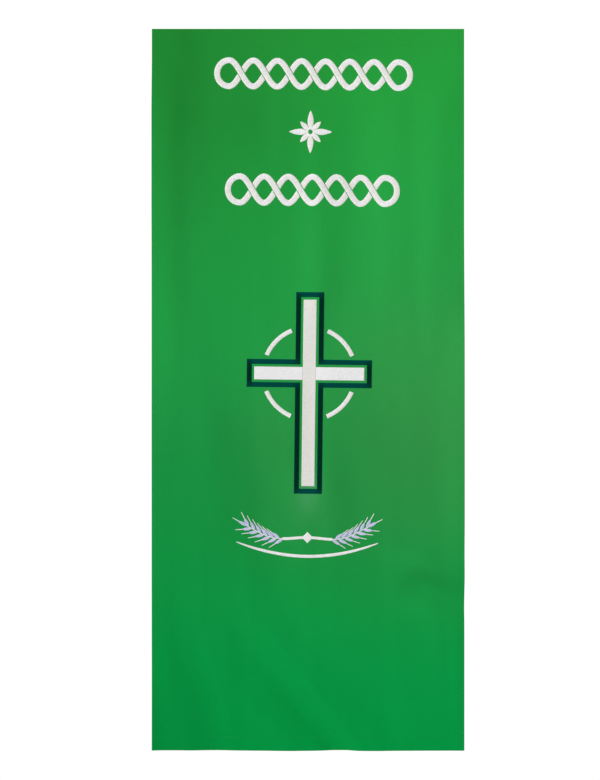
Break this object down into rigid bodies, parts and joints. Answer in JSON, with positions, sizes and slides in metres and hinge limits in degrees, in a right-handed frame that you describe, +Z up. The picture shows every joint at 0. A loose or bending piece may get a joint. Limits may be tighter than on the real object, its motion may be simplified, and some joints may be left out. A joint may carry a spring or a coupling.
{
  "type": "ambo cloth",
  "caption": "Hemmed green cloth that hangs down the front of an ambo, with plait bands, a rosette, a ringed cross and ears of wheat in raised thread work",
  "frame": {"origin": "the middle of the top edge, in the plane of the top hem's back", "axes": "+Z up along the drop, +Y out of the back towards what it hangs on, +X to the right of someone facing the embroidered side"},
  "size_m": [0.5, 0.0156, 1.155],
  "materials": {
    "cloth_green": "plain weave, soft sheen",
    "thread_white": "satin thread",
    "thread_dark_green": "satin thread",
    "thread_lavender": "satin thread"
  },
  "bodies": {
    "root": {"cloth": "cloth_green", "plait_upper": "thread_white", "rosette": "thread_white", "plait_lower": "thread_white", "cross": "thread_white", "cross_edging": "thread_dark_green", "ring_arc_1": "thread_white", "ring_arc_2": "thread_white", "ring_arc_3": "thread_white", "ring_arc_4": "thread_white", "ear_left": "thread_lavender", "ear_right": "thread_lavender", "stalks": "thread_white", "bow": "thread_white"}
  },
  "joints": []
}
